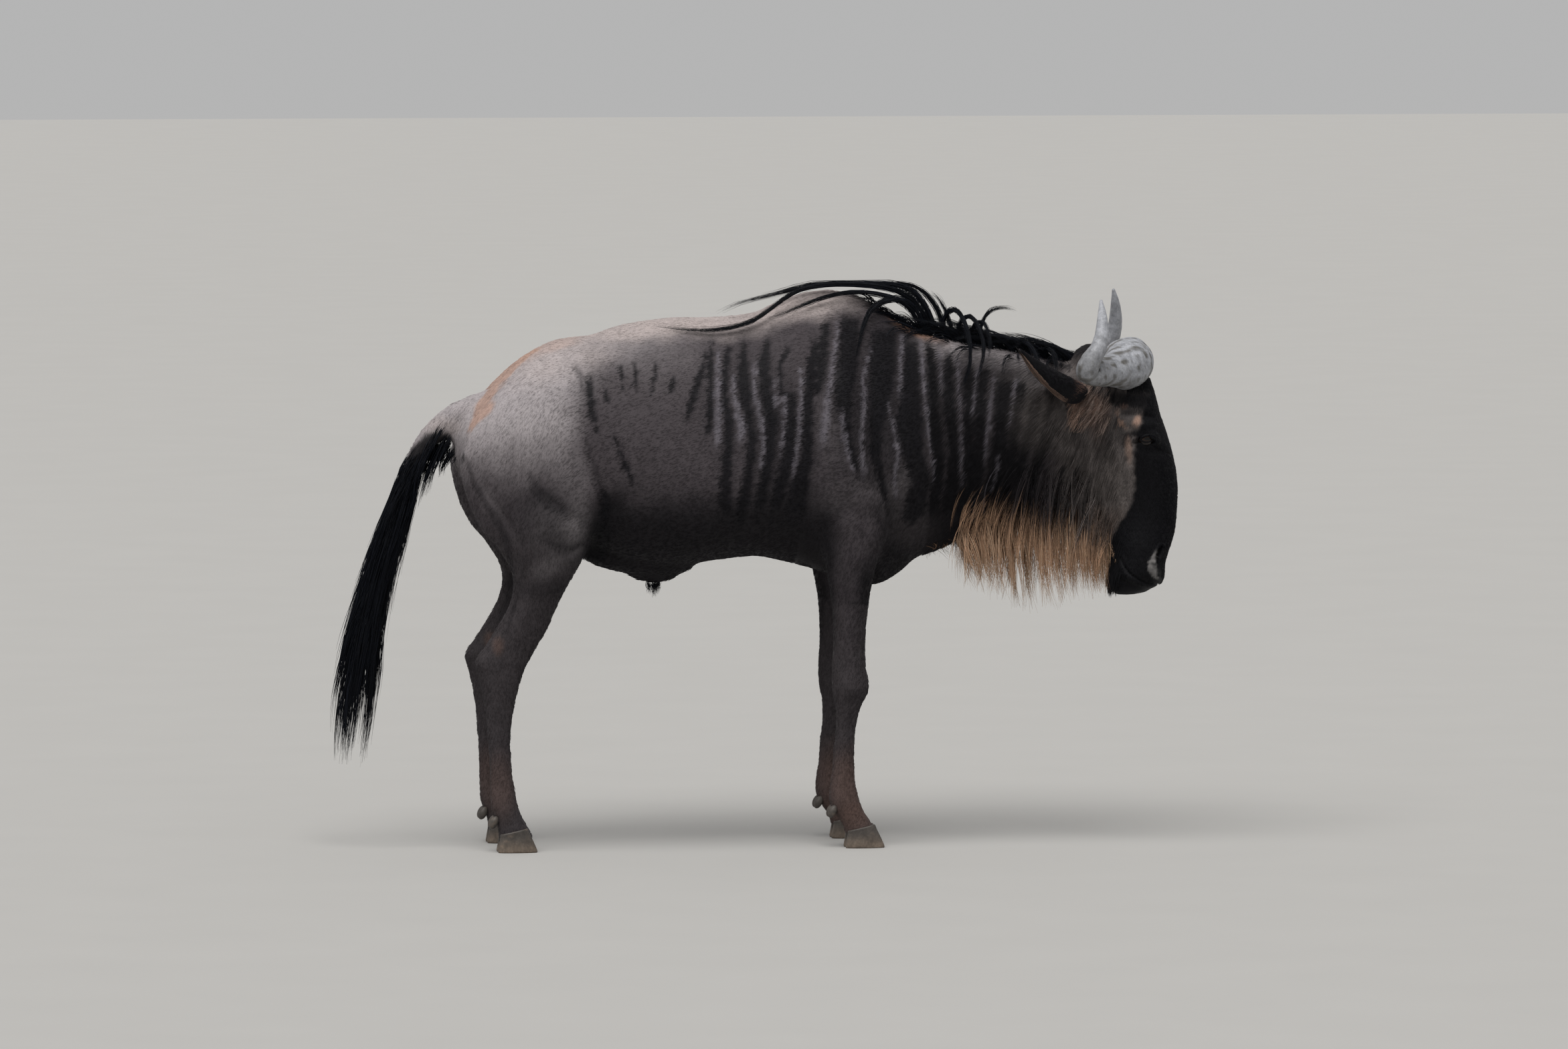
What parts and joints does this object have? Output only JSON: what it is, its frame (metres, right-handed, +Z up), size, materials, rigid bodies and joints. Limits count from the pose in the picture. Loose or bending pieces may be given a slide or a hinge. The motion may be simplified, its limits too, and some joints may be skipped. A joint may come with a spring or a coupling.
{
  "type": "wildebeest",
  "caption": "Standing life-size wildebeest bull with curved horns, a dark mane, a pale throat beard and a long dark tail, its head turned a little to its right.",
  "frame": {"origin": "on the floor, below the middle of the whole", "axes": "+X towards the head, +Y towards the animal's left side, +Z up"},
  "size_m": [2.0896, 0.559, 1.3907],
  "materials": {
    "hide": "short matt coat, grey-brown with dark upright stripes",
    "hair": "long coarse black hair",
    "horn": "weathered grey horn, smooth at the tips",
    "hoof": "dull grey horn",
    "eye": "wet, dark brown"
  },
  "bodies": {
    "root": {"torso": "hide", "neck": "hide", "head": "hide", "tail": "hair", "horn_right": "horn", "ear_right": "hide", "eye_right": "eye", "leg_hind_right": "hide", "hoof_hind_right_inner": "hoof", "dewclaw_hind_right_inner": "hoof", "hoof_hind_right_outer": "hoof", "dewclaw_hind_right_outer": "hoof", "leg_fore_right": "hide", "hoof_fore_right_inner": "hoof", "dewclaw_fore_right_inner": "hoof", "hoof_fore_right_outer": "hoof", "dewclaw_fore_right_outer": "hoof", "horn_left": "horn", "ear_left": "hide", "eye_left": "eye", "leg_hind_left": "hide", "hoof_hind_left_inner": "hoof", "dewclaw_hind_left_inner": "hoof", "hoof_hind_left_outer": "hoof", "dewclaw_hind_left_outer": "hoof", "leg_fore_left": "hide", "hoof_fore_left_inner": "hoof", "dewclaw_fore_left_inner": "hoof", "hoof_fore_left_outer": "hoof", "dewclaw_fore_left_outer": "hoof"}
  },
  "joints": []
}
